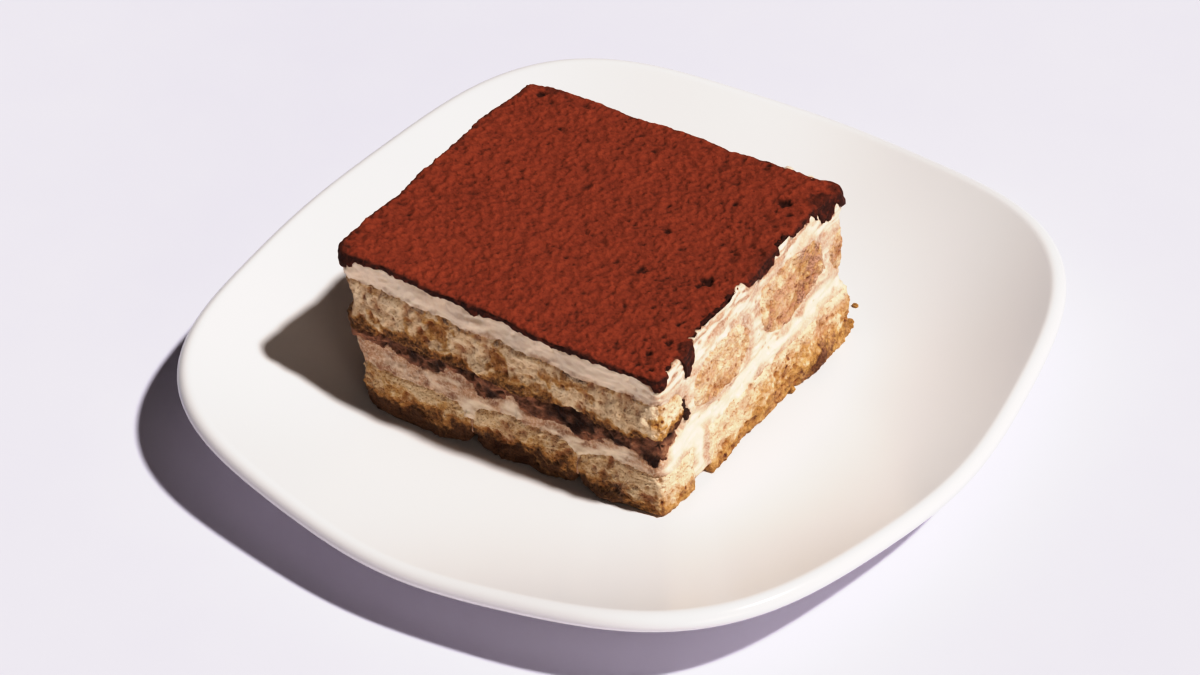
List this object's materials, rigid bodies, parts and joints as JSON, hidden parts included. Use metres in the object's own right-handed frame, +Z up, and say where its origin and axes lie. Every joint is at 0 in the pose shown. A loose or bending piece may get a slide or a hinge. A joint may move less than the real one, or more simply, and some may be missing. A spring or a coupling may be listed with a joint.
{
  "type": "tiramisu slice on a plate",
  "caption": "Square-cut piece of layered tiramisu with sponge fingers, cream and a cocoa top, lying on a rounded-square porcelain coupe plate.",
  "frame": {"origin": "middle of the plate's foot ring, on the table", "axes": "+Z up; the plate's sides are square to X and Y, and the slice's longer cut sides run roughly along X"},
  "size_m": [0.19, 0.19, 0.0517],
  "materials": {
    "porcelain": "gloss",
    "cocoa": "matte",
    "cream": "satin",
    "sponge": "matte",
    "soaked_cocoa": "satin"
  },
  "bodies": {
    "root": {"plate": "porcelain", "cocoa_top": "cocoa", "cream_upper": "cream", "cream_lower": "cream", "soaked_cocoa_layer": "soaked_cocoa", "sponge_upper_1": "sponge", "sponge_upper_2": "sponge", "sponge_upper_3": "sponge", "sponge_upper_4": "sponge", "sponge_lower_left": "sponge", "sponge_lower_middle": "sponge", "sponge_lower_front": "sponge", "sponge_lower_right": "sponge"}
  },
  "joints": []
}
